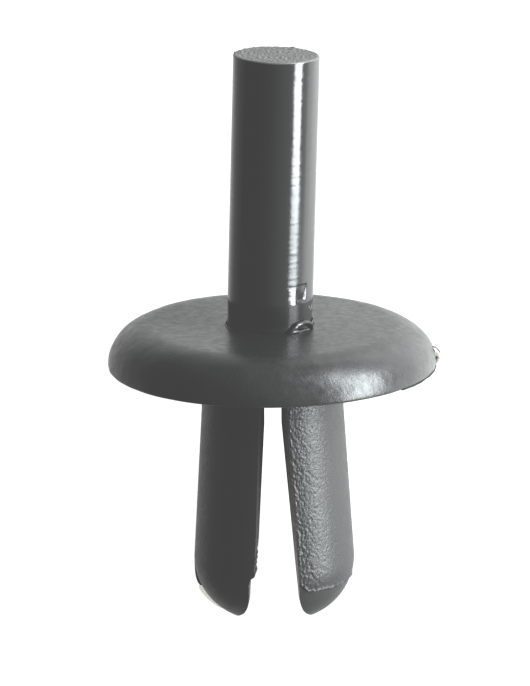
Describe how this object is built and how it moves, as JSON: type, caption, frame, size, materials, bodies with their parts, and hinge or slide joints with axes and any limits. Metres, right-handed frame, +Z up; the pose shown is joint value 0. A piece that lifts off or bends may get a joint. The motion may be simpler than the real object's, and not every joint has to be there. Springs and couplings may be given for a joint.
{
  "type": "plastic push rivet",
  "caption": "Round-headed plastic push rivet: a split shank with splayed legs under a domed head, and a drive pin that stands out of the head until it is pushed home.",
  "frame": {"origin": "centre of the head's bearing face, the flat ring under the head that lies against the panel", "axes": "+Z up, with the rivet lying as it rests, on the rim of its head and on the toes of both legs; X from leg to leg; the rivet's own axis climbs from the legs towards +Y at 23.4 degrees to the floor, with the pin's free end high"},
  "size_m": [0.015, 0.0252, 0.0143],
  "materials": {
    "sleeve": "matte black, spark-eroded grain",
    "pin": "glossy black"
  },
  "bodies": {
    "sleeve": {"sleeve": "sleeve"},
    "pin": {"drive_pin": "pin"}
  },
  "joints": [
    {"name": "pin_drive", "type": "slide", "parent": "sleeve", "child": "pin", "axis": [-0.0352, -0.9169, -0.3976], "range_m": [0, 0.0125]}
  ]
}
